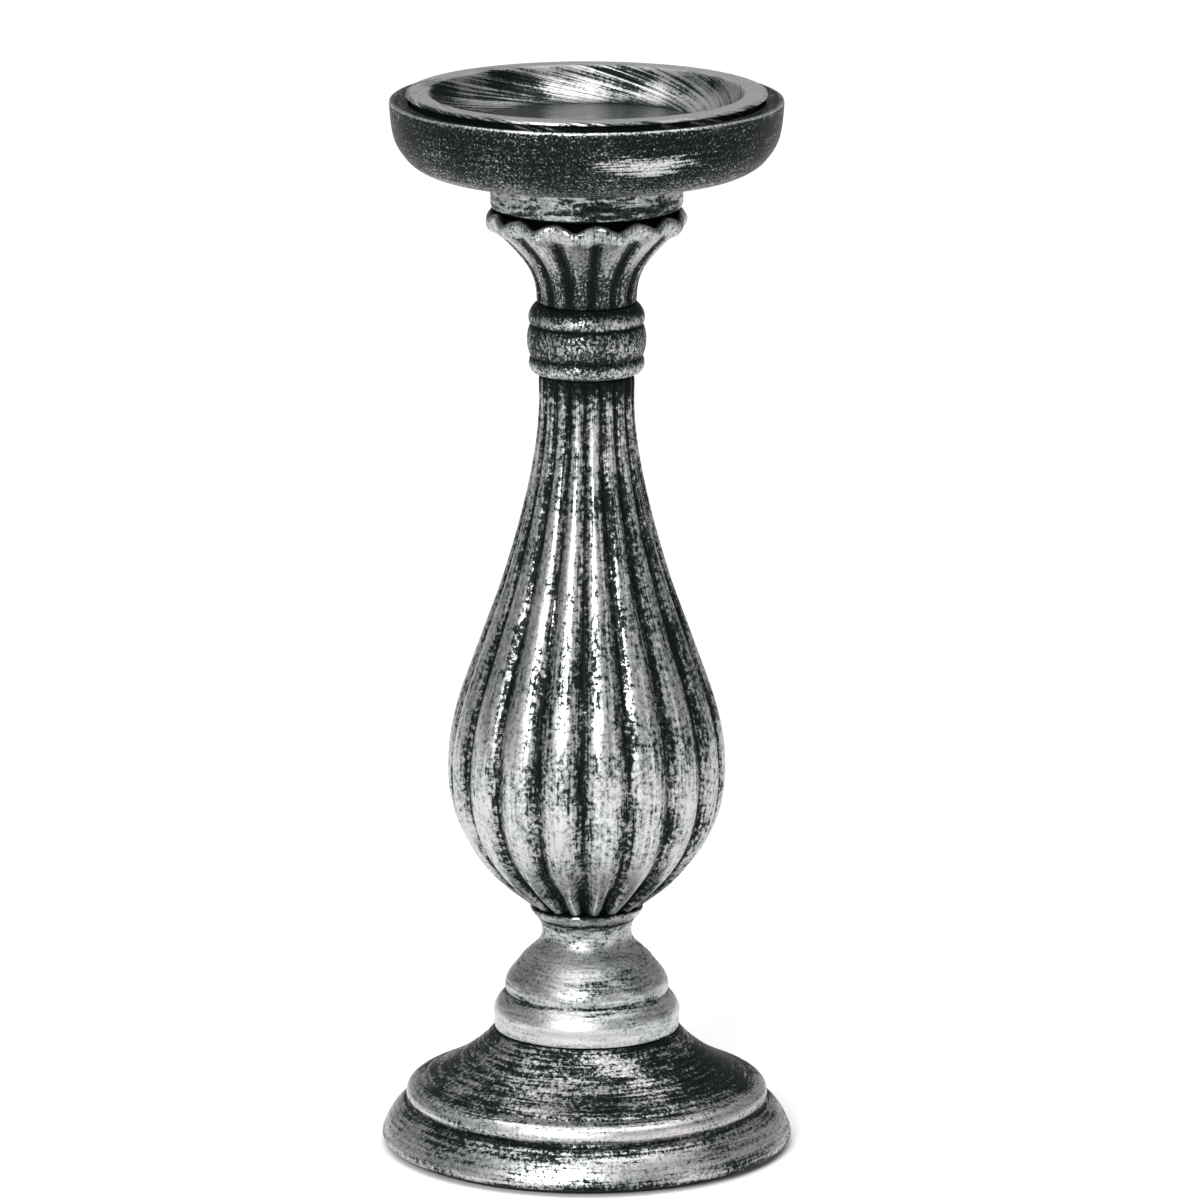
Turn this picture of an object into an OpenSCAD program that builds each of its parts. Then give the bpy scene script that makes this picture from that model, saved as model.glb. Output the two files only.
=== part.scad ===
// Pillar candlestick, twelve inches tall, in painted turned and carved wood.
// The sections stand on each other with spigots and are clamped by one tie rod.
// A candle cup with a metal drip plate drops into the tray and lifts straight out.
// Millimetres, +Z up, origin at the middle of the felt's underside, front at -Y.

/* [Foot] */
// Radius of the foot at its lower edge
foot_r = 58.6; // [56:0.2:62]
// Height of the foot, without its felt
foot_h = 32.5; // [31:0.5:34]
// Radius of the upper step of the foot
foot_step_r = 51.6; // [50:0.2:53]
// Thickness of the felt glued under the foot
felt_t = 1.5; // [1:0.5:3]

/* [Knop] */
// Radius of the knop's lower bead
knop_r = 25.4; // [24.6:0.2:26.4]
// Height of the knop
knop_h = 36; // [35:0.5:38]
// Radius of the neck between the knop and the vase
knop_neck_r = 14.1; // [13.6:0.1:15]

/* [Vase] */
// Radius of the vase at its widest
vase_r = 39.3; // [36:0.1:42]
// Height of the vase
vase_h = 155; // [150:0.5:165]
// Radius of the vase's straight neck
vase_neck_r = 13.7; // [13.2:0.1:14.5]
// Number of lobes round the vase
vase_lobes = 18; // [12:1:20]
// Depth of the grooves at the widest part
vase_groove = 2.5; // [1:0.1:3]
// Depth of the grooves at the neck
neck_groove = 1.1; // [0.5:0.1:1.4]

/* [Collar] */
// Height of the three-beaded collar
collar_h = 20; // [19:0.5:21.5]
// Radius of the grooves between its beads
collar_r = 16.15; // [15.8:0.05:16.6]

/* [Capital] */
// Height of the leaf capital
capital_h = 26.5; // [26:0.5:28]
// Radius of the capital's stem
capital_stem_r = 14.2; // [13.8:0.1:14.8]
// Radius of the leaf tips
leaf_tip_r = 28.5; // [28:0.1:29.5]
// Number of leaves
leaves = 14; // [10:1:16]
// Depth of the slots between the leaves
slot_depth = 1.6; // [0.6:0.1:2]
// How far the rim draws in between two leaves
scallop = 1.2; // [0.4:0.1:1.4]

/* [Tray] */
// Outer radius of the tray
tray_r = 55.4; // [54.6:0.1:57]
// Height of the tray
tray_h = 21.5; // [21.5:0.5:23]
// Radius of the recess that takes the cup
recess_r = 50; // [49.8:0.1:50.4]
// Radius of the drum under the tray
drum_r = 27.1; // [26.6:0.1:27.4]
// Height of the drum that shows between the leaves and the tray
drum_show = 10; // [9.5:0.5:12]

/* [Candle cup] */
// Radius of the cup's flange
flange_r = 50.7; // [50.4:0.1:51.5]
// How far the flange stands above the tray's rim
cup_rise = 2; // [1.8:0.1:3]
// Radius of the flange's inner edge
mouth_r = 44.3; // [42:0.1:46]
// Radius of the steel drip plate
plate_r = 33; // [30:0.5:36]
// Thickness of the drip plate
plate_t = 0.8; // [0.6:0.1:1.2]

/* [Tie rod] */
// Radius of the threaded rod
rod_r = 4; // [3:0.5:4]
// Hexagon nut, across its flats
nut_flats = 13; // [10:1:14]
// Thickness of a thin nut
nut_t = 4; // [3:0.5:4]
// Outer radius of the flat washers
washer_r = 12; // [10:0.5:12.5]
// Thickness of a flat washer
washer_t = 1.6; // [1:0.2:1.6]

/* [Hidden] */

black_silver = "dimgray";
bright_steel = "lightgray";
zinc = "silver";
felt_black = [0.08, 0.08, 0.08];

turning_fn = 96;       // facets of a full turn; every turned face is a true round
arc_steps = 8;         // points on each bowed stretch of an outline

bore_r = rod_r + 0.3;  // hole for the rod, all the way up
spigot_r = 9;          // spigots that centre one section on the next
spigot_h = 8;
fit_gap = 0.1;         // side clearance of a spigot in its socket
bottom_gap = 0.5;      // the socket is this much deeper than the spigot
pocket_r = 14;         // pockets that take the nuts and washers
rod_spare = 0.6;       // rod left standing past each nut
lock_t = 2;            // thickness of the split lock washer
lock_r = 7.4;
lock_slit = 1.5;

z_foot = felt_t;
z_knop = z_foot + foot_h;
z_vase = z_knop + knop_h;
z_collar = z_vase + vase_h;
z_capital = z_collar + collar_h;
z_tray = z_capital + capital_h + drum_show;
z_rim = z_tray + tray_h;

cup_floor_t = 2;
cup_h = 12;
recess_h = cup_h - cup_rise;
z_cup = z_rim - recess_h;
z_plate = z_cup + cup_floor_t;

foot_pocket_h = 13.5;
tray_floor_t = 5;       // left under the upper washer
tray_spigot_h = 2;
z_foot_washer = z_foot + foot_pocket_h - washer_t;
z_lock = z_foot_washer - lock_t;
z_foot_nut = z_lock - nut_t;
z_tray_washer = z_tray + tray_floor_t;
z_tray_nut = z_tray_washer + washer_t;
z_rod = z_foot_nut - rod_spare;
rod_h = z_tray_nut + nut_t + rod_spare - z_rod;

bowl_floor_h = 19;     // floor of the hollow inside the leaves, above the capital's foot
bowl_floor_r = 20;

// A vector turned by an angle
function turned(v, angle) = [v[0] * cos(angle) - v[1] * sin(angle), v[0] * sin(angle) + v[1] * cos(angle)];

// The round stretch from p to q, without q. bow is its rise over half its chord, positive when it
// swells to the right of the way from p to q.
function bowed(p, q, bow) =
    let (centre = (p + q) / 2 - [q[1] - p[1], p[0] - q[0]] * (1 - bow * bow) / (4 * bow))
    [for (i = [0 : arc_steps - 1]) centre + turned(p - centre, 4 * atan(bow) * i / arc_steps)];

// An outline from corners [radius, height, bow]; a corner with no bow starts a straight line
function outline(corners) = [
    for (i = [0 : len(corners) - 1])
        let (here = corners[i], next = corners[(i + 1) % len(corners)])
        each is_undef(here[2]) ? [here] : bowed([here[0], here[1]], [next[0], next[1]], here[2])
];

module turning(corners, z = 0) {
    translate([0, 0, z]) rotate_extrude($fn = turning_fn) polygon(outline(corners));
}

// A cylinder that stands at height z, for bores, sockets and pockets
module round_hole(r, h, z) {
    translate([0, 0, z]) cylinder(r = r, h = h, $fn = turning_fn);
}

// A point at an angle from the front, positive to the right
function around(r, angle, z) = [r * sin(angle), -r * cos(angle), z];

// A closed skin through rings of points, each counter-clockwise, with flat ends
module ringed_solid(rings) {
    count = len(rings[0]);
    last = (len(rings) - 1) * count;
    sides = [
        for (i = [0 : len(rings) - 2], j = [0 : count - 1])
            let (a = i * count + j, b = i * count + (j + 1) % count)
            each [[a, a + count, b + count], [a, b + count, b]]
    ];
    floor_face = [for (j = [0 : count - 1]) j];
    top_face = [for (j = [count - 1 : -1 : 0]) last + j];
    polyhedron(points = [for (ring = rings) each ring], faces = concat([floor_face, top_face], sides));
}

// ---- Foot ----

module felt_pad() {
    color(felt_black) cylinder(r = foot_r - 3.6, h = felt_t, $fn = turning_fn);
}

module foot() {
    shoulder_h = foot_h - 15.8;
    color(black_silver) difference() {
        turning([
            [0, 0],
            [foot_r - 1.2, 0, 0.3],
            [foot_r, 1.2, 0.16],
            [foot_step_r + 1.6, 10.6],
            [foot_step_r - 0.2, 11.4, 0.05],
            [foot_step_r - 0.2, 14, 0.35],
            [foot_step_r - 2.4, shoulder_h, -0.12],
            [knop_r + 1.4, foot_h - 0.5, 0.1],
            [knop_r + 1, foot_h],
            [0, foot_h]
        ], z_foot);
        round_hole(spigot_r + fit_gap, spigot_h + bottom_gap + 1, z_knop - spigot_h - bottom_gap);
        round_hole(bore_r, foot_h, z_foot);
        round_hole(pocket_r, foot_pocket_h + 1, z_foot - 1);
    }
}

// ---- Knop ----

module knop() {
    lip_r = knop_neck_r + 2.1;
    color(black_silver) difference() {
        union() {
            turning([
                [0, 0],
                [knop_r, 0, 0.37],
                [knop_r - 1.9, 10.6],
                [knop_r - 2.3, 11, 0.24],
                [19.5, 19.6, 0.06],
                [knop_neck_r - 0.1, knop_h - 11, -0.36],
                [knop_neck_r, knop_h - 3.5, -0.1],
                [lip_r - 0.3, knop_h - 1.4, 0.4],
                [lip_r - 0.5, knop_h],
                [0, knop_h]
            ], z_knop);
            round_hole(spigot_r, spigot_h + 1, z_knop - spigot_h);
            round_hole(spigot_r, spigot_h + 1, z_vase - 1);
        }
        round_hole(bore_r, knop_h + 2 * spigot_h + 2, z_knop - spigot_h - 1);
    }
}

// ---- Vase ----

vase_groove_angle = -1.7;  // one groove stands this far from the front
lobe_points = 4;

// The vase's outline along a lobe's crest
vase_outline = outline([
    [knop_neck_r + 1, 0, 0.09],
    [vase_r - 6.2, 18, 0.14],
    [vase_r, 41, 0.088],
    [vase_r - 4.3, 65.3],
    [vase_r - 12.2, 87, -0.03],
    [vase_neck_r + 3.5, 120, -0.058],
    [vase_neck_r, 147],
    [vase_neck_r, vase_h]
]);

// Lobes are bowed between sharp grooves: t runs from one groove to the next
function lobe_cut(t) = pow(2 * t - 1, 2);

function vase_ring(r, z) =
    let (depth = lookup(r, [[vase_neck_r, neck_groove], [vase_r, vase_groove]]), count = vase_lobes * lobe_points)
    [for (i = [0 : count - 1])
        around(r - depth * lobe_cut((i % lobe_points) / lobe_points), vase_groove_angle + 360 * i / count, z)];

module vase() {
    color(black_silver) difference() {
        ringed_solid([for (p = vase_outline) vase_ring(p[0], z_vase + p[1])]);
        round_hole(spigot_r + fit_gap, spigot_h + bottom_gap + 1, z_vase - 1);
        round_hole(spigot_r + fit_gap, spigot_h + bottom_gap + 1, z_collar - spigot_h - bottom_gap);
        round_hole(bore_r, vase_h, z_vase);
    }
}

// ---- Collar ----

module collar() {
    color(black_silver) difference() {
        union() {
            turning([
                [0, 0],
                [vase_neck_r + 0.9, 0, 0.42],
                [collar_r, 4.9, 0.16],
                [collar_r + 0.05, 14.4, 0.42],
                [capital_stem_r, collar_h],
                [0, collar_h]
            ], z_collar);
            round_hole(spigot_r, spigot_h + 1, z_collar - spigot_h);
            round_hole(spigot_r, spigot_h + 1, z_capital - 1);
        }
        round_hole(bore_r, collar_h + 2 * spigot_h + 2, z_collar - spigot_h - 1);
    }
}

// ---- Capital ----

capital_slot_angle = 6.2;  // one slot stands this far from the front
leaf_points = 6;

// The capital's skin over a leaf's middle: up the stem, over the curled tip, down into the hollow
capital_outline = outline([
    [capital_stem_r, 0],
    [capital_stem_r, 2.5, -0.21],
    [leaf_tip_r - 3.3, 20.5],
    [leaf_tip_r - 1.3, 21.8, 0.4],
    [leaf_tip_r - 0.9, capital_h - 1, 0.3],
    [leaf_tip_r - 1.7, capital_h - 0.3],
    [leaf_tip_r - 2.6, capital_h - 0.9],
    [bowl_floor_r + 1.4, bowl_floor_h + 0.6],
    [bowl_floor_r, bowl_floor_h]
]);

// A slot runs up the stem between two leaves and stops under their tips
slot_shape = [[0, 0], [3, slot_depth], [16, slot_depth], [21, 0]];
// The rim draws in between two leaves, most at the tips
rim_shape = [[18, 0], [22, scallop], [capital_h, scallop]];

// Share of the full depth at t from one slot to the next
function slot_cut(t) = max(0, 1 - 4 * min(t, 1 - t));

function capital_ring(r, z, outside) =
    let (slot = outside ? lookup(z, slot_shape) : 0, draw = lookup(z, rim_shape), count = leaves * leaf_points)
    [for (i = [0 : count - 1])
        let (t = (i % leaf_points) / leaf_points)
        around(r - slot * slot_cut(t) - draw * lobe_cut(t), capital_slot_angle + 360 * i / count, z_capital + z)];

module capital() {
    color(black_silver) difference() {
        ringed_solid([
            for (i = [0 : len(capital_outline) - 1])
                let (p = capital_outline[i])
                capital_ring(p[0], p[1], i < len(capital_outline) - 3)
        ]);
        round_hole(spigot_r + fit_gap, capital_h, z_capital - 1);
    }
}

// ---- Drum and tray ----

module drum() {
    z_seat = z_capital + bowl_floor_h;
    drum_h = z_tray - z_seat;
    color(black_silver) difference() {
        union() {
            turning([
                [0, 0],
                [bowl_floor_r - 1.5, 0, -0.35],
                [drum_r - 0.6, drum_h - 9.1],
                [drum_r, drum_h - 8.6],
                [drum_r, drum_h],
                [0, drum_h]
            ], z_seat);
            round_hole(spigot_r, spigot_h + 1, z_seat - spigot_h);
            round_hole(spigot_r, tray_spigot_h + 1, z_tray - 1);
        }
        round_hole(bore_r, drum_h + spigot_h + 6, z_seat - spigot_h - 1);
    }
}

module tray() {
    rim_edge = 0.7;
    color(black_silver) difference() {
        turning([
            [0, 0],
            [drum_r + 0.4, 0],
            [tray_r - 16, 0.4, 0.073],
            [tray_r - 8.4, 2.5, 0.156],
            [tray_r - 2.3, 8.5, 0.1],
            [tray_r, tray_h - rim_edge, 0.4],
            [tray_r - rim_edge, tray_h],
            [recess_r, tray_h - 0.5],
            [recess_r, tray_h - recess_h],
            [0, tray_h - recess_h]
        ], z_tray);
        round_hole(pocket_r, recess_h + tray_h, z_tray_washer);
        round_hole(spigot_r + fit_gap, tray_spigot_h + bottom_gap + 1, z_tray - 1);
        round_hole(bore_r, tray_h, z_tray - 1);
    }
}

// ---- Candle cup, with its origin at the recess floor ----

module candle_cup() {
    wall_r = recess_r - 0.6;
    color(black_silver) turning([
        [0, 0],
        [wall_r - 0.8, 0, 0.4],
        [wall_r, 0.8],
        [wall_r, cup_h - 1.3],
        [flange_r, cup_h - 1, 0.3],
        [flange_r - 0.5, cup_h],
        [mouth_r + 0.6, cup_h, 0.35],
        [mouth_r - 0.4, cup_h - 0.7, -0.2],
        [plate_r + fit_gap, cup_floor_t + plate_t],
        [plate_r + fit_gap, cup_floor_t],
        [0, cup_floor_t]
    ], z_cup);
}

module drip_plate() {
    color(bright_steel) round_hole(plate_r, plate_t, z_plate);
}

// ---- Tie rod and its fasteners ----

module tie_rod() {
    chamfer = 0.8;
    color(zinc) turning([
        [0, 0],
        [rod_r - chamfer, 0],
        [rod_r, chamfer],
        [rod_r, rod_h - chamfer],
        [rod_r - chamfer, rod_h],
        [0, rod_h]
    ], z_rod);
}

module hex_nut(z) {
    corner_r = nut_flats / 2 / cos(30);
    color(zinc) translate([0, 0, z]) difference() {
        intersection() {
            cylinder(r = corner_r, h = nut_t, $fn = 6);
            turning([[0, 0], [nut_flats / 2, 0], [corner_r, 0.6], [corner_r, nut_t - 0.6], [nut_flats / 2, nut_t], [0, nut_t]]);
        }
        round_hole(rod_r + 0.05, nut_t + 2, -1);
    }
}

module flat_washer(z) {
    color(zinc) translate([0, 0, z]) difference() {
        cylinder(r = washer_r, h = washer_t, $fn = turning_fn);
        round_hole(rod_r + 0.2, washer_t + 2, -1);
    }
}

module lock_washer() {
    color(zinc) translate([0, 0, z_lock]) difference() {
        cylinder(r = lock_r, h = lock_t, $fn = turning_fn);
        round_hole(rod_r + 0.1, lock_t + 2, -1);
        translate([0, -lock_slit / 2, -1]) cube([lock_r + 1, lock_slit, lock_t + 2]);
    }
}

felt_pad();
foot();
hex_nut(z_foot_nut);  // foot_nut
lock_washer();
flat_washer(z_foot_washer);  // foot_washer
knop();
vase();
collar();
capital();
drum();
tray();
flat_washer(z_tray_washer);  // tray_washer
hex_nut(z_tray_nut);  // tray_nut
tie_rod();
candle_cup();
drip_plate();
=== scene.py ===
import math

import bmesh
import bpy
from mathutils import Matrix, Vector


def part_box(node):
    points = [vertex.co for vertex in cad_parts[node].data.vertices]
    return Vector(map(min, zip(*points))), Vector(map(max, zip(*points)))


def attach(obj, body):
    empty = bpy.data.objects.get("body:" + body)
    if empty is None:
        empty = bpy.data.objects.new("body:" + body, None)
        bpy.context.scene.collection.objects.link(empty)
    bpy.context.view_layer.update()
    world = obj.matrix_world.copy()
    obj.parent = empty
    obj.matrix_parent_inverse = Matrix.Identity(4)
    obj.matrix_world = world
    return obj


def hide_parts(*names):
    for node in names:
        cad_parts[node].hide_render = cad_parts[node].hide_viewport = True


bl_info = {
    "name": "Painted Candlestick",
    "version": (1, 0, 0),
    "blender": (4, 5, 0),
    "location": "View3D > Sidebar > Candlestick",
    "description": "Builds a painted pillar candlestick round its packed frame",
    "category": "Add Mesh",
}

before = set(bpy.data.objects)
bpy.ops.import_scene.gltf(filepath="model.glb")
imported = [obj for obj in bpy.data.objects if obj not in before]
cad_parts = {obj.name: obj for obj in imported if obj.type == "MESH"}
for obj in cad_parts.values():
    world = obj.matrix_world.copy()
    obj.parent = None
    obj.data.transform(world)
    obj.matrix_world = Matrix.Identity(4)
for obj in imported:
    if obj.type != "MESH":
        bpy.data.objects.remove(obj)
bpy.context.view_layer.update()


def mm(length):
    """Millimetres as metres."""
    return length / 1000


def linear(code):
    """An sRGB hex colour as linear red, green, blue and alpha."""
    channels = [int(code[i : i + 2], 16) / 255 for i in (1, 3, 5)]
    return [c / 12.92 if c <= 0.04045 else ((c + 0.055) / 1.055) ** 2.4 for c in channels] + [1.0]


def base_of(node):
    """Height of a CAD node's lowest point, in millimetres."""
    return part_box(node)[0][2] * 1000


# ---- Sizes and colours a user would change ----


class CandlestickSizes(bpy.types.PropertyGroup):
    facets: bpy.props.IntProperty(
        name="Facets", description="Steps round a turned section", default=180, min=36, max=360
    )
    lobes: bpy.props.IntProperty(
        name="Lobes", description="Lobes carved round the vase", default=18, min=8, max=24
    )
    lobe_start: bpy.props.FloatProperty(
        name="First groove",
        description="Angle of one groove from the front",
        default=math.radians(-1.7),
        subtype="ANGLE",
    )
    leaves: bpy.props.IntProperty(
        name="Leaves", description="Leaves round the capital", default=14, min=8, max=20
    )
    leaf_start: bpy.props.FloatProperty(
        name="First slot",
        description="Angle of one slot between leaves from the front",
        default=math.radians(6.2),
        subtype="ANGLE",
    )
    thread_pitch: bpy.props.FloatProperty(
        name="Thread pitch", description="Pitch of the rod's coarse thread", default=mm(1.25), unit="LENGTH"
    )


class CandlestickColours(bpy.types.PropertyGroup):
    silver: bpy.props.FloatVectorProperty(
        name="Silver", description="Silver paint", size=4, default=linear("#D3D6D5"), subtype="COLOR"
    )
    shade: bpy.props.FloatVectorProperty(
        name="Warmer silver",
        description="Silver paint where it dried warmer",
        size=4,
        default=linear("#CCC8C8"),
        subtype="COLOR",
    )
    tarnish: bpy.props.FloatVectorProperty(
        name="Thin silver",
        description="Silver paint where it is thin",
        size=4,
        default=linear("#747978"),
        subtype="COLOR",
    )
    black: bpy.props.FloatVectorProperty(
        name="Black", description="Black undercoat", size=4, default=linear("#0A1010"), subtype="COLOR"
    )
    floor: bpy.props.FloatVectorProperty(
        name="Floor", description="Studio floor", size=4, default=linear("#F0F0F0"), subtype="COLOR"
    )


# ---- Outlines: stretches of (radius, height above the section's foot, share of silver) in mm ----
# Each stretch is one smooth curve, and stretches meet at corners. An outline closes on itself, or runs
# from the axis back to the axis.

BORE = 4.3  # radius of the hole for the tie rod
SPIGOT = 9.0  # radius of the peg on one section
SOCKET = 9.1  # radius of the hole in the next section that takes it

FOOT = [
    [(BORE, 24.0, 0), (BORE, 13.5, 0)],
    [(BORE, 13.5, 0), (14.0, 13.5, 0)],
    [(14.0, 13.5, 0), (14.0, 0, 0)],
    [(14.0, 0, 0), (57.2, 0, 0)],
    [(57.2, 0, 0.2), (58.2, 0.5, 0.45), (58.6, 1.5, 0.56), (58.3, 2.8, 0.62), (57.6, 4.4, 0.66),
     (56.6, 6.4, 0.64), (55.2, 8.4, 0.58), (54.0, 9.7, 0.5), (53.2, 10.5, 0.4)],
    [(53.2, 10.5, 0.34), (52.2, 10.7, 0.24), (51.4, 11.1, 0.18), (51.2, 11.7, 0.2), (51.4, 12.2, 0.5)],
    [(51.4, 12.2, 0.6), (51.7, 13.4, 0.84), (51.3, 15.0, 0.84), (50.2, 16.2, 0.72), (48.4, 17.1, 0.5),
     (46.6, 17.5, 0.36)],
    [(46.6, 17.5, 0.34), (46.2, 17.9, 0.33), (44.2, 19.1, 0.31), (41.2, 20.6, 0.3), (38.6, 22.1, 0.31),
     (36.0, 23.8, 0.33), (33.4, 25.7, 0.36), (31.0, 27.7, 0.4), (29.0, 29.6, 0.4), (27.6, 31.2, 0.32),
     (26.9, 32.0, 0.2), (26.6, 32.5, 0.1)],
    [(26.6, 32.5, 0), (SOCKET, 32.5, 0)],
    [(SOCKET, 32.5, 0), (SOCKET, 24.0, 0)],
    [(SOCKET, 24.0, 0), (BORE, 24.0, 0)],
]

KNOP = [
    [(BORE, 44.0, 0), (BORE, -8.0, 0)],
    [(BORE, -8.0, 0), (SPIGOT, -8.0, 0)],
    [(SPIGOT, -8.0, 0), (SPIGOT, 0, 0)],
    [(SPIGOT, 0, 0), (25.8, 0, 0)],
    [(25.8, 0, 0.35), (26.3, 0.5, 0.7), (26.45, 1.6, 0.96), (26.3, 2.6, 0.96), (26.35, 3.6, 0.98),
     (26.6, 5.0, 1.0), (26.4, 6.3, 0.94), (25.5, 8.2, 0.86), (24.2, 9.8, 0.74), (23.5, 10.6, 0.54)],
    [(23.5, 10.6, 0.45), (23.15, 11.0, 0.45), (23.3, 11.8, 0.7), (23.35, 13.0, 0.8), (22.8, 15.0, 0.74),
     (21.5, 17.0, 0.69), (19.9, 19.0, 0.68), (18.4, 21.0, 0.74), (16.3, 23.0, 0.77), (14.1, 25.0, 0.76),
     (13.0, 27.0, 0.74), (12.75, 28.8, 0.72), (13.0, 30.6, 0.68), (13.6, 32.0, 0.5)],
    [(13.6, 32.0, 0.1), (14.0, 32.5, 0.2), (14.8, 33.4, 0.68), (15.8, 34.7, 0.76), (16.1, 35.5, 0.6),
     (15.9, 36.0, 0.3)],
    [(15.9, 36.0, 0), (SPIGOT, 36.0, 0)],
    [(SPIGOT, 36.0, 0), (SPIGOT, 44.0, 0)],
    [(SPIGOT, 44.0, 0), (BORE, 44.0, 0)],
]

# The vase is a coarse cage: its lobes are carved in it before it is smoothed
VASE = [
    (15.2, 0, 0.4), (16.1, 0.8, 0.6), (19.2, 3.2, 0.78), (24.4, 7.4, 0.84), (29.4, 12.4, 0.86),
    (33.4, 17.8, 0.86), (36.4, 23.8, 0.85), (38.4, 30.0, 0.84), (39.4, 37.0, 0.82), (39.4, 44.0, 0.79),
    (38.6, 51.0, 0.75), (37.1, 58.0, 0.71), (34.9, 65.0, 0.68), (32.3, 72.0, 0.66), (29.6, 79.5, 0.65),
    (26.8, 87.0, 0.64), (24.1, 94.5, 0.64), (21.8, 102.0, 0.64), (19.5, 110.0, 0.63), (17.5, 118.0, 0.62),
    (15.6, 126.5, 0.62), (14.2, 135.0, 0.62), (13.5, 142.5, 0.6), (13.35, 147.0, 0.54),
    (13.4, 150.5, 0.4), (13.6, 155.0, 0.15),
]
VASE_CORE = [
    (11.5, 155.0, 0), (SOCKET, 155.0, 0), (SOCKET, 146.5, 0), (BORE, 146.5, 0), (BORE, 8.5, 0),
    (SOCKET, 8.5, 0), (SOCKET, 0, 0), (10.3, 0, 0),
]

COLLAR = [
    [(BORE, 28.0, 0), (BORE, -8.0, 0)],
    [(BORE, -8.0, 0), (SPIGOT, -8.0, 0)],
    [(SPIGOT, -8.0, 0), (SPIGOT, 0, 0)],
    [(SPIGOT, 0, 0), (13.9, 0, 0)],
    [(13.9, 0, 0.4), (15.2, 0.4, 0.65), (16.1, 1.6, 0.68), (16.35, 2.9, 0.6), (16.2, 4.0, 0.45),
     (15.7, 4.8, 0.2)],
    [(15.7, 4.8, 0), (16.1, 5.5, 0.3), (16.6, 7.2, 0.46), (16.85, 9.2, 0.5), (16.7, 11.4, 0.46),
     (16.2, 13.3, 0.3), (15.7, 14.0, 0)],
    [(15.7, 14.0, 0), (16.2, 14.6, 0.36), (16.45, 15.8, 0.6), (16.3, 17.0, 0.5), (15.7, 18.3, 0.28),
     (14.9, 19.4, 0.08), (14.2, 20.0, 0)],
    [(14.2, 20.0, 0), (SPIGOT, 20.0, 0)],
    [(SPIGOT, 20.0, 0), (SPIGOT, 28.0, 0)],
    [(SPIGOT, 28.0, 0), (BORE, 28.0, 0)],
]

# The capital is a coarse cage too: up the stem, over the curled tips and down into the hollow
CAPITAL = [
    (14.2, 0, 0.34), (14.1, 2.2, 0.4), (14.4, 5.0, 0.44), (15.2, 8.0, 0.48), (16.9, 11.2, 0.54),
    (19.4, 14.4, 0.62), (22.2, 17.4, 0.7), (24.9, 20.0, 0.76), (27.0, 21.8, 0.8), (28.4, 23.4, 0.72),
    (28.5, 25.2, 0.6), (27.7, 26.1, 0.74), (26.6, 26.0, 0.45), (25.6, 25.0, 0.36), (23.2, 21.6, 0.3),
    (20.2, 19.0, 0.2),
]
CAPITAL_CORE = [
    (SOCKET, 19.0, 0), (SOCKET, 0, 0), (12.5, 0, 0),
]

DRUM = [
    [(BORE, 19.5, 0), (BORE, -8.0, 0)],
    [(BORE, -8.0, 0), (SPIGOT, -8.0, 0)],
    [(SPIGOT, -8.0, 0), (SPIGOT, 0, 0)],
    [(SPIGOT, 0, 0), (18.5, 0, 0)],
    [(18.5, 0, 0), (19.4, 2.6, 0), (21.0, 5.2, 0), (23.2, 7.2, 0), (25.4, 8.2, 0), (26.5, 8.5, 0.1)],
    [(26.5, 8.5, 0.5), (26.9, 8.9, 0.52), (27.1, 9.8, 0.5), (27.1, 12.0, 0.52), (27.05, 14.0, 0.6),
     (27.0, 17.0, 0.66)],
    [(27.0, 17.0, 0.7), (26.8, 17.5, 0.3)],
    [(26.8, 17.5, 0), (SPIGOT, 17.5, 0)],
    [(SPIGOT, 17.5, 0), (SPIGOT, 19.5, 0)],
    [(SPIGOT, 19.5, 0), (BORE, 19.5, 0)],
]

TRAY = [
    [(SOCKET, 0, 0), (27.5, 0, 0.2)],
    [(27.5, 0, 0.6), (33.0, 0.15, 0.56), (38.5, 0.5, 0.54), (41.6, 0.9, 0.52), (44.8, 1.6, 0.5),
     (47.0, 2.5, 0.47), (48.7, 3.5, 0.43), (50.0, 4.5, 0.38), (51.6, 6.4, 0.31), (53.1, 8.6, 0.26),
     (54.1, 10.9, 0.23), (54.7, 13.6, 0.21), (55.1, 16.8, 0.19), (55.3, 19.4, 0.19), (55.37, 20.6, 0.3)],
    [(55.37, 20.6, 0.6), (55.25, 21.15, 0.84), (54.85, 21.45, 0.6)],
    [(54.85, 21.45, 0.4), (53.8, 21.2, 0.32), (52.4, 20.95, 0.28), (51.0, 20.85, 0.28),
     (50.3, 20.85, 0.3)],
    [(50.3, 20.85, 0.3), (50.05, 20.6, 0.1), (50.0, 20.1, 0), (50.0, 11.5, 0)],
    [(50.0, 11.5, 0), (14.0, 11.5, 0)],
    [(14.0, 11.5, 0), (14.0, 5.0, 0)],
    [(14.0, 5.0, 0), (BORE, 5.0, 0)],
    [(BORE, 5.0, 0), (BORE, 2.5, 0)],
    [(BORE, 2.5, 0), (SOCKET, 2.5, 0)],
    [(SOCKET, 2.5, 0), (SOCKET, 0, 0)],
]

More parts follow.
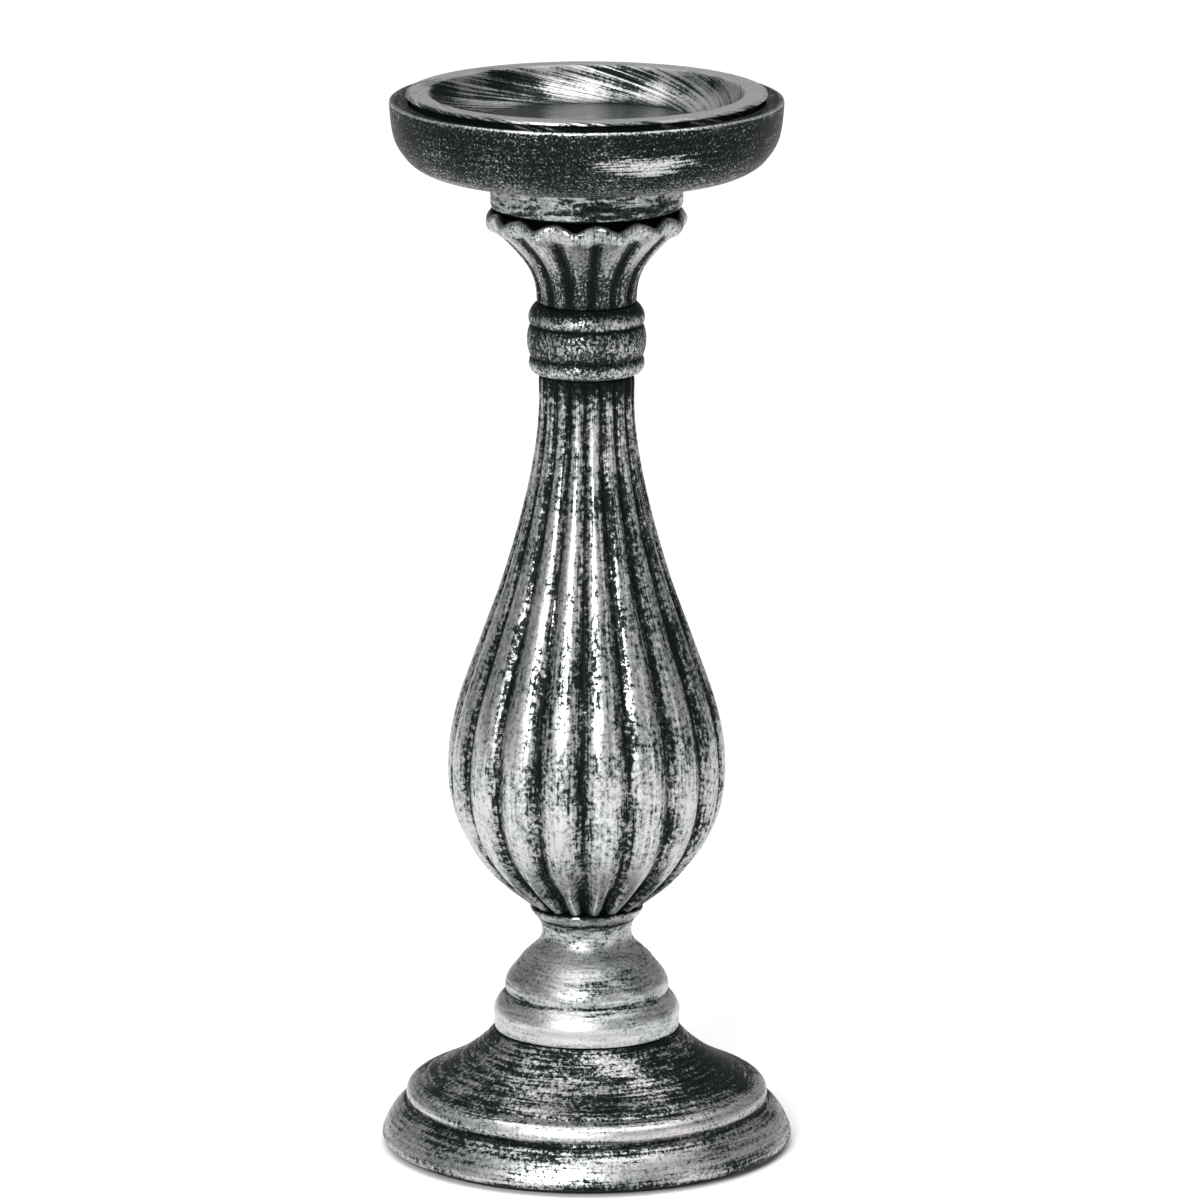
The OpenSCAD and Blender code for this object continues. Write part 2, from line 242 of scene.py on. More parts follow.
CUP = [
    [(0, 0, 0), (48.6, 0, 0)],
    [(48.6, 0, 0), (49.2, 0.2, 0), (49.4, 0.8, 0), (49.4, 10.6, 0)],
    [(49.4, 10.6, 0), (50.4, 10.8, 0.2)],
    [(50.4, 10.8, 0.4), (50.7, 11.2, 0.6), (50.55, 11.75, 0.74), (50.0, 11.98, 0.84)],
    [(50.0, 11.98, 1.2), (47.5, 11.9, 1.12), (45.0, 11.98, 1.12)],
    [(45.0, 11.98, 0.9), (44.3, 11.7, 0.8), (43.9, 11.0, 0.6)],
    [(43.9, 11.0, 0.5), (43.3, 9.6, 0.5), (42.0, 7.6, 0.55), (39.9, 5.6, 0.6), (37.2, 4.0, 0.62),
     (34.8, 3.1, 0.5), (33.1, 2.8, 0.2)],
    [(33.1, 2.8, 0), (33.1, 2.0, 0)],
    [(33.1, 2.0, 0), (0, 2.0, 0)],
]


# ---- Modelling ----

OUTLINE_STEP = 0.8  # mm between points along a turned outline
SEAM_GAP = mm(0.005)
CORNER_ANGLE = math.radians(32)
SMOOTHING = 2


def clear_selection():
    """Leaves nothing selected, so that an operator acts only on what comes next."""
    if bpy.context.object and bpy.context.object.mode != "OBJECT":
        bpy.ops.object.mode_set(mode="OBJECT")
    bpy.ops.object.select_all(action="DESELECT")


def curve_through(points):
    """Points along a smooth curve that runs through the given ones."""
    if len(points) == 2:
        return list(points)
    made = []
    last = len(points) - 1
    for i in range(last):
        a = Vector(points[i])
        b = Vector(points[i + 1])
        before = Vector(points[i - 1]) if i else a * 2 - b
        after = Vector(points[i + 2]) if i + 1 < last else b * 2 - a
        span = (b - a).xy.length
        slope_a = (b - before) / (span + (a - before).xy.length) * span
        slope_b = (after - a) / (span + (after - b).xy.length) * span
        parts = max(1, round(span / OUTLINE_STEP))
        for k in range(parts):
            t = k / parts
            made.append(
                a * (2 * t**3 - 3 * t**2 + 1)
                + slope_a * (t**3 - 2 * t**2 + t)
                + b * (3 * t**2 - 2 * t**3)
                + slope_b * (t**3 - t**2)
            )
    return made + [Vector(points[last])]


def whole_outline(stretches):
    """One list of points from an outline's stretches, with each corner given once."""
    made = []
    for stretch in stretches:
        points = curve_through(stretch)
        made += points[1:] if made else points
    if made[0][0] > 0:
        made.pop()
    return [tuple(p) for p in made]


def give_values(piece, name, kind, values):
    """Stores one value for each point of the piece."""
    attribute = piece.data.attributes.new(name, kind, "POINT")
    for item, value in zip(attribute.data, values):
        item.value = value


def draw_outline(name, points, base):
    """A new object drawn point by point, which keeps each point's number, silver and distance along."""
    clear_selection()
    radius, height, _ = points[0]
    bpy.ops.mesh.primitive_plane_add(size=mm(1), location=(mm(radius), 0, mm(base + height)))
    piece = bpy.context.object
    piece.name = piece.data.name = name
    bpy.ops.object.transform_apply(location=True, rotation=True, scale=True)
    bpy.ops.object.mode_set(mode="EDIT")
    bpy.ops.mesh.merge(type="CENTER")
    lengths = [0]
    for here, ahead in zip(points, points[1:]):
        step = (mm(ahead[0] - here[0]), 0, mm(ahead[1] - here[1]))
        bpy.ops.mesh.extrude_region_move(TRANSFORM_OT_translate={"value": step})
        lengths.append(lengths[-1] + math.dist(here[:2], ahead[:2]))
    bpy.ops.object.mode_set(mode="OBJECT")
    give_values(piece, "ring", "INT", range(len(points)))
    give_values(piece, "silver", "FLOAT", [point[2] for point in points])
    give_values(piece, "along", "FLOAT", lengths)
    return piece


def select_points(piece, wanted):
    """Selects, in edit mode, the points for which wanted(ring, turn from the front) is true."""
    cage = bmesh.from_edit_mesh(piece.data)
    rings = cage.verts.layers.int["ring"]
    for vert in cage.verts:
        vert.select = wanted(vert[rings], math.atan2(vert.co.x, -vert.co.y))
    cage.select_mode = {"VERT"}
    cage.select_flush_mode()
    bmesh.update_edit_mesh(piece.data)


def spin_outline(piece, steps, closed):
    """Turns the drawn outline once round the axis into a closed skin."""
    bpy.ops.object.mode_set(mode="EDIT")
    if closed:
        ends = (0, len(piece.data.vertices) - 1)
        select_points(piece, lambda ring, turn: ring in ends)
        bpy.ops.mesh.edge_face_add()
    bpy.ops.mesh.select_all(action="SELECT")
    bpy.ops.mesh.spin(steps=steps, angle=math.tau, center=(0, 0, 0), axis=(0, 0, 1))
    bpy.ops.mesh.select_all(action="SELECT")
    bpy.ops.mesh.remove_doubles(threshold=SEAM_GAP)
    bpy.ops.mesh.normals_make_consistent(inside=False)
    bpy.ops.mesh.select_all(action="DESELECT")


def finish_piece(piece):
    """Leaves edit mode and shades the piece smooth up to its corners."""
    bpy.ops.object.mode_set(mode="OBJECT")
    bpy.ops.object.shade_smooth_by_angle(angle=CORNER_ANGLE)
    return piece


def turn_section(name, outline, node, facets):
    """A turned section from its outline, standing where its CAD node stands."""
    foot = min(point[1] for stretch in outline for point in stretch)
    piece = draw_outline(name, whole_outline(outline), base_of(node) - foot)
    spin_outline(piece, facets, closed=outline[0][0][0] > 0)
    return finish_piece(piece)


def dress(piece, material, body, node):
    """Gives a piece its material and its body, and hides the CAD node that it stands for."""
    piece.data.materials.clear()
    piece.data.materials.append(material)
    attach(piece, body)
    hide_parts(node)


# ---- Carving: a cage with a few columns of points to each lobe or leaf, cut and then smoothed ----

LOBE_COLUMNS = 6
LEAF_COLUMNS = 8

# Height below which the vase's lobes narrow to their tips, and how deep the grooves are there, in mm
TIPS_END = 18
TIP_GROOVE = 2.4
TIP_GROOVE_EXTRA = 1.6

# Share of a groove's depth cut from a lobe's sides, how much more at its tip, below a height in mm, and the
# share by which its crown swells out
SIDE_CUT = 0.26
TIP_SIDE_CUT = 0.35
TIP_SIDES_END = 20
CROWN_SWELL = 0.1

# Groove depth at the neck, how much more it is at the belly, the belly's height and its reach, in mm
NECK_GROOVE = 1.25
BELLY_GROOVE_EXTRA = 1.35
BELLY_HEIGHT = 40
BELLY_REACH = 100

# Heights in mm at which the belly has the most silver, and where the black wedges between the tips end
BELLY_LIGHT = 32
WEDGES_END = 16

# Depth in mm of the capital's slots at each ring of its cage, and its share in each column from the slot
SLOT_DEPTH = {1: 0.5, 2: 0.8, 3: 1.1, 4: 1.3, 5: 1.5, 6: 1.5, 7: 0.8}
SLOT_SHARE = (1.0, 0.45, 0, 0, 0)

# The cage's rings over the curled rim and the height at which the slots end under it, then how far the
# notches between two leaves cut in and lift, and how far the leaves' tips swell out and drop, in mm
RIM_RINGS = range(8, 14)
RIM_HEIGHT = 21
NOTCH_CUT = 1.3
NOTCH_LIFT = 0.8
TIP_SWELL = 0.05
TIP_DROP = 1.6

# A point this little before a groove, as a share of a lobe, counts as in it
GROOVE_SLACK = 1e-4


def column_at(turn, start, count, columns):
    """Which column of a lobe or leaf lies at a turn from the front, counted from the groove before it."""
    share = (turn - start) / math.tau * count
    phase = share - math.floor(share + GROOVE_SLACK)
    return round(columns * phase) % columns


def draw_cage(name, points, base, start, columns):
    """Spins an outline into a coarse cage that has a column of points at the start angle from the front."""
    cage = draw_outline(name, points, base)
    spin_outline(cage, columns, closed=True)
    bpy.ops.mesh.select_all(action="SELECT")
    # With no window this operator turns the other way, so the angle is given with a minus
    offset = (start - math.pi / 2) % (math.tau / columns)
    bpy.ops.transform.rotate(value=-offset, orient_axis="Z", center_override=(0, 0, 0))
    return cage


def carve(cage, wanted, keep, lift=0):
    """Draws the points for which wanted(ring, turn) is true in towards the axis, and lifts them."""
    select_points(cage, wanted)
    bpy.ops.transform.resize(value=(keep, keep, 1), center_override=(0, 0, 0))
    bpy.ops.transform.translate(value=(0, 0, mm(lift)))


def shade_grooves(piece, base, start, count, columns, share_at):
    """Changes each point's silver by its column and its height above the base."""
    bpy.ops.object.mode_set(mode="OBJECT")
    silver = piece.data.attributes["silver"].data
    for vert in piece.data.vertices:
        column = column_at(math.atan2(vert.co.x, -vert.co.y), start, count, columns)
        silver[vert.index].value *= share_at(column, vert.co.z * 1000 - base)


def smooth_cage(piece):
    """Subdivides the carved cage and keeps the result."""
    bpy.ops.object.modifier_add(type="SUBSURF")
    rounding = piece.modifiers[-1]
    rounding.levels = rounding.render_levels = SMOOTHING
    bpy.ops.object.modifier_apply(modifier=rounding.name)
    finish_piece(piece)


def groove_depth(height):
    """Depth of the vase's grooves at a height, deepest between the tips of the lobes."""
    if height < TIPS_END:
        return TIP_GROOVE + TIP_GROOVE_EXTRA * (1 - height / TIPS_END)
    return NECK_GROOVE + BELLY_GROOVE_EXTRA * max(0, 1 - abs(height - BELLY_HEIGHT) / BELLY_REACH)


def lobe_cut(column, height):
    """Share of the groove's depth cut from a column: more of the sides at the tip, and the crown swells."""
    side = SIDE_CUT + TIP_SIDE_CUT * max(0, 1 - height / TIP_SIDES_END)
    return (1.0, side, 0, -CROWN_SWELL, 0, side)[column]


def lobe_silver(column, height):
    """Share of silver across a lobe: little in its groove, black wedges between the tips, and a painted
    highlight as a little more silver on the flank just after the groove.
    """
    belly = max(0, 1 - abs(height - BELLY_LIGHT) / BELLY_LIGHT)
    # Painted highlight: the flank just after the groove (column 1) takes a little more silver than the flank
    # before it (column 5), as that flank faces the front softbox at the front
    open_lobe = (0.2 + 0.14 * belly, 0.78, 1.0, 1.04 + 0.04 * belly, 1.0, 0.7)[column]
    tip = (0.0, 0.3, 1.0, 1.15, 1.0, 0.25)[column]
    return tip + (open_lobe - tip) * min(1, height / WEDGES_END)


def leaf_cut(column, ring):
    """Depth and lift in mm of a leaf's column: slots up the stem, then tips that curl out and down."""
    half = LEAF_COLUMNS // 2
    valley = abs(column - half) / half
    depth = SLOT_DEPTH.get(ring, 0) * SLOT_SHARE[min(column, LEAF_COLUMNS - column)]
    if ring not in RIM_RINGS:
        return depth, 0
    lift = NOTCH_LIFT * valley - TIP_DROP * (1 - valley) ** 2
    return depth + NOTCH_CUT * valley**2 - TIP_SWELL, lift


def leaf_silver(column, height):
    """Share of silver across a leaf: none in the slots, which end under the rim."""
    return 1 if height > RIM_HEIGHT else (0.0, 0.35, 0.85, 1.0, 1.05, 1.0, 0.85, 0.35)[column]


# ---- The tie rod's thread ----

THREAD_DEPTH = 0.6  # of the pitch
THREAD_STEPS = 24
SPARE_TURNS = 2  # past each end, which the cuts take off
CUT_REACH = mm(0.0005)
CUT_GAP = mm(0.002)


def wind_rod(name, pitch):
    """The tie rod: one turn of its thread, wound up the axis past both ends and then cut square."""
    low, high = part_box("tie_rod")
    pitch_mm = pitch * 1000
    crest = high.x * 1000
    root = crest - THREAD_DEPTH * pitch_mm
    # Crest, flank, root and flank, each height a share of the pitch
    turn = [(crest, 0), (crest, 0.12), (root, 0.45), (root, 0.67), (crest, 1)]
    bottom = low.z * 1000 - SPARE_TURNS * pitch_mm
    rod = draw_outline(name, [(radius, share * pitch_mm, 0) for radius, share in turn], bottom)
    bpy.ops.object.modifier_add(type="SCREW")
    thread = rod.modifiers[-1]
    thread.steps = thread.render_steps = THREAD_STEPS
    thread.screw_offset = pitch
    thread.iterations = math.ceil((high.z - low.z) / pitch) + 2 * SPARE_TURNS
    thread.use_merge_vertices = True
    bpy.ops.object.modifier_apply(modifier=thread.name)
    bpy.ops.object.mode_set(mode="EDIT")
    for height, below in ((low.z, True), (high.z, False)):
        bpy.ops.mesh.select_all(action="SELECT")
        bpy.ops.mesh.bisect(
            plane_co=(0, 0, height),
            plane_no=(0, 0, 1),
            use_fill=True,
            clear_inner=below,
            clear_outer=not below,
            threshold=CUT_REACH,
        )
    bpy.ops.mesh.select_all(action="SELECT")
    bpy.ops.mesh.remove_doubles(threshold=CUT_GAP)
    bpy.ops.mesh.normals_make_consistent(inside=False)
    return finish_piece(rod)


# ---- Materials ----

PLACE = "ShaderNodeTexCoord"
MATHS = "ShaderNodeMath"
VECTOR = "ShaderNodeVectorMath"
RANGE = "ShaderNodeMapRange"
NOISE = "ShaderNodeTexNoise"
STORED = "ShaderNodeAttribute"
MIX = "ShaderNodeMix"
BUMP = "ShaderNodeBump"
COLOUR = {"data_type": "RGBA"}

PER_MM = 1000  # turns metres to millimetres in a pattern

# Radius at which a streak's length round a piece is measured, and width of the patches where the brush was
# fuller or drier. The real flakes are too fine to show, so they are drawn this coarse. All in mm.
STREAK_CIRCLE = 40
PATCH_WIDTH = 17
FLAKE_WIDTH = 0.55

# How strongly the streaks break up a smear, and how high the brush's ridges and the flakes stand
SMEAR_BREAK = 3.0
RIDGES = 0.3
FLAKES = 0.6
PAINT_RELIEF = mm(0.14)
PLATING_RELIEF = mm(0.03)
NAP_RELIEF = mm(0.2)

ZINC_SPANGLE = 2.5  # mm across
SPUN_RING = 0.625  # mm apart, coarser than the real brushing so that it shows
SPUN_DRIFT = 1.2  # how much a ring changes as it goes round
FELT_TUFT = 1 / 1.4  # mm across, coarser than the real nap so that it shows


def add_node(tree, kind, settings=None, values=None, links=None):
    """Adds a node, sets it, fills its inputs and links it."""
    made = tree.nodes.new(kind)
    for key, value in (settings or {}).items():
        setattr(made, key, value)
    for key, value in (values or {}).items():
        made.inputs[key].default_value = value
    for key, source in (links or {}).items():
        tree.links.new(source, made.inputs[key])
    return made


def new_material(name):
    """An empty material with only its output and its shader."""
    material = bpy.data.materials.new(name)
    material.use_nodes = True
    tree = material.node_tree
    tree.nodes.clear()
    shader = add_node(tree, "ShaderNodeBsdfPrincipled")
    add_node(tree, "ShaderNodeOutputMaterial", links={"Surface": shader.outputs[0]})
    return material, tree, shader


def silver_over_black(name, brush, skips, grain=(0, 0, 0), painted_light_lean=(0, 0), slant=0, smear=None):
    """Acrylic silver brushed nearly dry over a satin black coat on sealed wood.

    The brush leaves silver on what stands up and skips over pores and hollows. brush is how long its
    streaks run round the piece and along its outline in mm and how strongly they break the silver up.
    skips are the size in mm of the pores that it misses, their strength, and the strength of the wider
    patches that it hardly touches. grain moves the patterns. lean is how much more silver the left side
    and the front have: painted light, more silver on the sides that face the front softbox, over the
    brush's own unevenness. slant turns the streaks as they go along. smear holds the low and high
    corners, in mm, round one stray stroke of silver.
    """
    material, tree, shader = new_material(name)
    place = add_node(tree, PLACE).outputs["Object"]
    colours = bpy.context.scene.candlestick_colours
    round_mm, along_mm, stroke = brush
    pore_mm, pores, blotch = skips

    # Where a point is: in mm with the grain moved, and as a heading round the axis and a distance along
    scaled = {"Scale": (PER_MM, PER_MM, PER_MM), "Location": grain}
    sized = add_node(tree, "ShaderNodeMapping", values=scaled, links={"Vector": place}).outputs[0]
    flat = add_node(tree, VECTOR, {"operation": "MULTIPLY"}, {1: (1, 1, 0)}, {0: place}).outputs[0]
    heading = add_node(tree, VECTOR, {"operation": "NORMALIZE"}, links={0: flat}).outputs[0]
    along = add_node(tree, STORED, {"attribute_name": "along"}).outputs["Fac"]
    # Painted light: the lean gives more silver to the sides that face the front softbox, over the brush's
    # own unevenness
    towards = (-painted_light_lean[0], -painted_light_lean[1], 0)
    dot = {"operation": "DOT_PRODUCT"}
    painted_light_share = add_node(tree, VECTOR, dot, {1: towards}, {0: heading}).outputs["Value"]

    # Four patterns: the brush's streaks, the pores that it missed, fuller and drier patches, and the flakes
    if slant:
        angle = add_node(tree, MATHS, {"operation": "MULTIPLY"}, {1: slant}, {0: along}).outputs[0]
        upright = {"rotation_type": "Z_AXIS"}
        turned = {"Vector": heading, "Angle": angle}
        heading = add_node(tree, "ShaderNodeVectorRotate", upright, links=turned).outputs[0]
    circle = STREAK_CIRCLE / round_mm
    stretched = {1: (circle, circle, 0), 2: grain}
    multiply_add = {"operation": "MULTIPLY_ADD"}
    around = add_node(tree, VECTOR, multiply_add, stretched, {0: heading}).outputs[0]
    length = add_node(tree, MATHS, {"operation": "DIVIDE"}, {1: along_mm}, {0: along}).outputs[0]
    rise = add_node(tree, "ShaderNodeCombineXYZ", links={"Z": length}).outputs[0]
    flow = add_node(tree, VECTOR, {"operation": "ADD"}, links={0: around, 1: rise}).outputs[0]
    streaks = {"Scale": 1.0, "Detail": 4.0, "Roughness": 0.62}
    pits = {"Scale": 1 / pore_mm, "Detail": 3.0, "Roughness": 0.7}
    patches = {"Scale": 1 / PATCH_WIDTH, "Detail": 2.0, "Roughness": 0.5}
    flakes = {"Scale": 1 / FLAKE_WIDTH, "Detail": 2.0, "Roughness": 0.6}
    streak = add_node(tree, NOISE, values=streaks, links={"Vector": flow}).outputs["Fac"]
    pore = add_node(tree, NOISE, values=pits, links={"Vector": sized}).outputs["Fac"]
    patch = add_node(tree, NOISE, values=patches, links={"Vector": sized}).outputs["Fac"]
    flake = add_node(tree, NOISE, values=flakes, links={"Vector": sized}).outputs["Fac"]

    # How much silver is left: what the shape takes, the lean, which is painted light on the sides facing the
    # front softbox, the smear, and the three patterns' swing
    left = add_node(tree, STORED, {"attribute_name": "silver"}).outputs["Fac"]
    left = add_node(tree, MATHS, {"operation": "ADD"}, links={0: left, 1: painted_light_share}).outputs[0]
    if smear:
        low, high = smear
        middle = [(a + b) / 2 / PER_MM for a, b in zip(low, high)]
        shrink = [2 * PER_MM / (b - a) for a, b in zip(low, high)]
        away = add_node(tree, VECTOR, {"operation": "SUBTRACT"}, {1: middle}, {0: place}).outputs[0]
        away = add_node(tree, VECTOR, {"operation": "MULTIPLY"}, {1: shrink}, {0: away}).outputs[0]
        away = add_node(tree, VECTOR, {"operation": "LENGTH"}, links={0: away}).outputs["Value"]
        away = add_node(tree, MATHS, multiply_add, {1: -SMEAR_BREAK}, {0: streak, 2: away}).outputs[0]
        dab = add_node(tree, RANGE, values={1: -0.35, 2: -1.05, 3: 0.0, 4: 0.58}, links={0: away}).outputs[0]
        left = add_node(tree, MATHS, {"operation": "ADD"}, links={0: left, 1: dab}).outputs[0]
    for pattern, weight in ((streak, stroke), (pore, pores), (patch, blotch)):
        centred = {1: weight, 2: -weight / 2}
        swing = add_node(tree, MATHS, multiply_add, centred, {0: pattern}).outputs[0]
        left = add_node(tree, MATHS, {"operation": "ADD"}, links={0: left, 1: swing}).outputs[0]

    # Below a threshold the silver is only a haze on the black, and above it the paint covers
    covers = {1: 0.46, 2: 0.56, 3: 0.0, 4: 0.84}
    haze = add_node(tree, RANGE, values={1: 0.22, 2: 0.5, 3: 0.0, 4: 0.18}, links={0: left}).outputs[0]
    solid = add_node(tree, RANGE, {"interpolation_type": "SMOOTHSTEP"}, covers, {0: left}).outputs[0]
    mask = add_node(tree, MATHS, {"operation": "ADD"}, links={0: haze, 1: solid}).outputs[0]

    # Thin silver is greyer than thick silver, and thick silver dried warmer in some patches
    film = add_node(tree, RANGE, values={1: 0.5, 2: 1.05, 3: -0.55, 4: 0.45}, links={0: left}).outputs[0]
    clamped = {"operation": "MULTIPLY_ADD", "use_clamp": True}
    thick = add_node(tree, MATHS, clamped, {1: 1.1}, {0: flake, 2: film}).outputs[0]
    warm = add_node(tree, RANGE, values={1: 0.42, 2: 0.62}, links={0: patch}).outputs[0]
    full = add_node(tree, MIX, COLOUR, {6: colours.silver, 7: colours.shade}, {0: warm}).outputs[2]
    tone = add_node(tree, MIX, COLOUR, {6: colours.tarnish}, {0: thick, 7: full}).outputs[2]
    paint = add_node(tree, MIX, COLOUR, {6: colours.black}, {0: mask, 7: tone}).outputs[2]

    # The silver stands a little proud of the black, with the brush's ridges and the flakes in it
    gloss = add_node(tree, RANGE, values={1: 0.3, 2: 0.7, 3: 0.47, 4: 0.33}, links={0: flake}).outputs[0]
    coat = add_node(tree, MATHS, multiply_add, {1: RIDGES}, {0: streak, 2: mask}).outputs[0]
    coat = add_node(tree, MATHS, multiply_add, {1: FLAKES}, {0: flake, 2: coat}).outputs[0]
    proud = {"Strength": 0.6, "Distance": PAINT_RELIEF}
    relief = add_node(tree, BUMP, values=proud, links={"Height": coat}).outputs[0]
    shader.inputs["Specular IOR Level"].default_value = 0.04
    sockets = {"Base Color": paint, "Metallic": mask, "Roughness": gloss, "Normal": relief}
    for socket, source in sockets.items():
        tree.links.new(source, shader.inputs[socket])
    return material


def zinc_steel(name):
    """Zinc plated steel: bright, bluish grey and faintly spangled."""
    material, tree, shader = new_material(name)
    place = add_node(tree, PLACE).outputs["Object"]
    spangles = {"Scale": PER_MM / ZINC_SPANGLE, "Detail": 4.0}
    cloud = add_node(tree, NOISE, values=spangles, links={"Vector": place}).outputs["Fac"]
    tone = add_node(tree, MIX, COLOUR, {6: linear("#9EA3A8"), 7: linear("#C6CACC")}, {0: cloud}).outputs[2]
    gloss = add_node(tree, RANGE, values={3: 0.42, 4: 0.26}, links={0: cloud}).outputs[0]
    shallow = {"Strength": 0.3, "Distance": PLATING_RELIEF}
    relief = add_node(tree, BUMP, values=shallow, links={"Height": cloud}).outputs[0]
    shader.inputs["Metallic"].default_value = 1.0
    for socket, source in {"Base Color": tone, "Roughness": gloss, "Normal": relief}.items():
        tree.links.new(source, shader.inputs[socket])
    return material


def spun_steel(name):
    """Satin spun steel, darkened: fine rings round its middle where the sheet was spun and brushed."""
    material, tree, shader = new_material(name)
    place = add_node(tree, PLACE).outputs["Object"]
    flat = add_node(tree, VECTOR, {"operation": "MULTIPLY"}, {1: (1, 1, 0)}, {0: place}).outputs[0]
    radius = add_node(tree, VECTOR, {"operation": "LENGTH"}, links={0: flat}).outputs["Value"]
    heading = add_node(tree, VECTOR, {"operation": "NORMALIZE"}, links={0: flat}).outputs[0]
    spread = {1: (SPUN_DRIFT, SPUN_DRIFT, 0)}
    heading = add_node(tree, VECTOR, {"operation": "MULTIPLY"}, spread, {0: heading}).outputs[0]
    rings = add_node(tree, MATHS, {"operation": "MULTIPLY"}, {1: PER_MM / SPUN_RING}, {0: radius}).outputs[0]
    rings = add_node(tree, "ShaderNodeCombineXYZ", links={"Z": rings}).outputs[0]
    rings = add_node(tree, VECTOR, {"operation": "ADD"}, links={0: heading, 1: rings}).outputs[0]
    brushing = {"Scale": 1.0, "Detail": 3.0}
    lines = add_node(tree, NOISE, values=brushing, links={"Vector": rings}).outputs["Fac"]
    tone = add_node(tree, MIX, COLOUR, {6: linear("#3C4143"), 7: linear("#6A7074")}, {0: lines}).outputs[2]
    gloss = add_node(tree, RANGE, values={3: 0.2, 4: 0.32}, links={0: lines}).outputs[0]
    shallow = {"Strength": 0.25, "Distance": PLATING_RELIEF}
    relief = add_node(tree, BUMP, values=shallow, links={"Height": lines}).outputs[0]
    shader.inputs["Metallic"].default_value = 1.0
    for socket, source in {"Base Color": tone, "Roughness": gloss, "Normal": relief}.items():
        tree.links.new(source, shader.inputs[socket])
    return material


def wool_felt(name):
    """Pressed wool felt, dyed black: matt, with a short tangled nap."""
    material, tree, shader = new_material(name)
    place = add_node(tree, PLACE).outputs["Object"]
    tufts = {"Scale": PER_MM / FELT_TUFT, "Detail": 6.0, "Roughness": 0.75, "Distortion": 1.5}
    nap = add_node(tree, NOISE, values=tufts, links={"Vector": place}).outputs["Fac"]
    tone = add_node(tree, MIX, COLOUR, {6: linear("#0B0C0C"), 7: linear("#2A2B2C")}, {0: nap}).outputs[2]
    deep = {"Strength": 0.7, "Distance": NAP_RELIEF}
    relief = add_node(tree, BUMP, values=deep, links={"Height": nap}).outputs[0]
    shader.inputs["Roughness"].default_value = 0.95
    shader.inputs["Sheen Weight"].default_value = 0.4
    for socket, source in {"Base Color": tone, "Normal": relief}.items():
        tree.links.new(source, shader.inputs[socket])
    return material


def studio_paper(name):
    """Matt studio paper, pale and even."""
    material, _, shader = new_material(name)
    shader.inputs["Base Color"].default_value = bpy.context.scene.candlestick_colours.floor
    shader.inputs["Roughness"].default_value = 0.9
    shader.inputs["Specular IOR Level"].default_value = 0.1
    return material


# ---- Operators, one for each piece or group of like pieces ----


class CANDLESTICK_OT_foot(bpy.types.Operator):
    """Turn the foot and lay the felt under it"""

    bl_idname = "candlestick.foot"
    bl_label = "Foot and felt"

    def execute(self, context):
        facets = context.scene.candlestick_sizes.facets
        foot = turn_section("foot_turned", FOOT, "foot", facets)
        paint = silver_over_black(
            "silver over black, brushed round the foot",
            brush=(16, 1.0, 1.8),
            skips=(1.1, 1.8, 1.3),
            grain=(-14, 9, 0),
            # Painted light: more silver on the side that faces the front softbox
            painted_light_lean=(0.06, 0.07),
        )
        dress(foot, paint, "candlestick", "foot")
        low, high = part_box("felt_pad")
        edge, top = high.x * 1000, (high.z - low.z) * 1000
        felt = [
            [(0, 0, 0), (edge - 0.4, 0, 0)],
            [(edge - 0.4, 0, 0), (edge - 0.1, 0.2, 0), (edge, 0.6, 0), (edge, top, 0)],
            [(edge, top, 0), (0, top, 0)],
        ]
        pad = turn_section("felt_disc", felt, "felt_pad", facets)
        dress(pad, wool_felt("wool felt"), "candlestick", "felt_pad")
        return {"FINISHED"}


class CANDLESTICK_OT_knop(bpy.types.Operator):
    """Turn the knop"""

    bl_idname = "candlestick.knop"
    bl_label = "Knop"

    def execute(self, context):
        facets = context.scene.candlestick_sizes.facets
        knop = turn_section("knop_turned", KNOP, "knop", facets)
        paint = silver_over_black(
            "silver over black, thick on the knop",
            brush=(12, 0.9, 1.4),
            skips=(0.9, 1.3, 1.2),
            grain=(21, 4, 0),
            # Painted light: more silver on the side that faces the front softbox
            painted_light_lean=(0, 0.06),
        )
        dress(knop, paint, "candlestick", "knop")
        return {"FINISHED"}


class CANDLESTICK_OT_vase(bpy.types.Operator):
    """Spin the vase's cage, carve its lobes and smooth it"""

    bl_idname = "candlestick.vase"
    bl_label = "Fluted vase"

    def execute(self, context):
        sizes = context.scene.candlestick_sizes
        start, lobes = sizes.lobe_start, sizes.lobes
        base = base_of("vase")
        vase = draw_cage("vase_fluted", VASE + VASE_CORE, base, start, LOBE_COLUMNS * lobes)
        for ring, (radius, height, _) in enumerate(VASE):
            for column in range(LOBE_COLUMNS):
                depth = groove_depth(height) * lobe_cut(column, height)
                if depth:
                    carve(
                        vase,
                        lambda r, turn: r == ring
                        and column_at(turn, start, lobes, LOBE_COLUMNS) == column,
                        keep=1 - depth / radius,
                    )
        shade_grooves(vase, base, start, lobes, LOBE_COLUMNS, lobe_silver)
        smooth_cage(vase)
        paint = silver_over_black(
            "silver over black, brushed up the lobes",
            brush=(1.0, 16, 1.4),
            skips=(1.35, 1.9, 1.0),
            # Painted light: more silver on the side that faces the front softbox
            painted_light_lean=(0.06, 0),
        )
        dress(vase, paint, "candlestick", "vase")
        return {"FINISHED"}


class CANDLESTICK_OT_collar(bpy.types.Operator):
    """Turn the beaded collar"""

    bl_idname = "candlestick.collar"
    bl_label = "Collar"

    def execute(self, context):
        facets = context.scene.candlestick_sizes.facets
        collar = turn_section("collar_beaded", COLLAR, "collar", facets)
        paint = silver_over_black(
            "silver over black, dabbed on the collar", brush=(2.2, 1.6, 1.2), skips=(0.75, 1.6, 0.6)
        )
        dress(collar, paint, "candlestick", "collar")
        return {"FINISHED"}


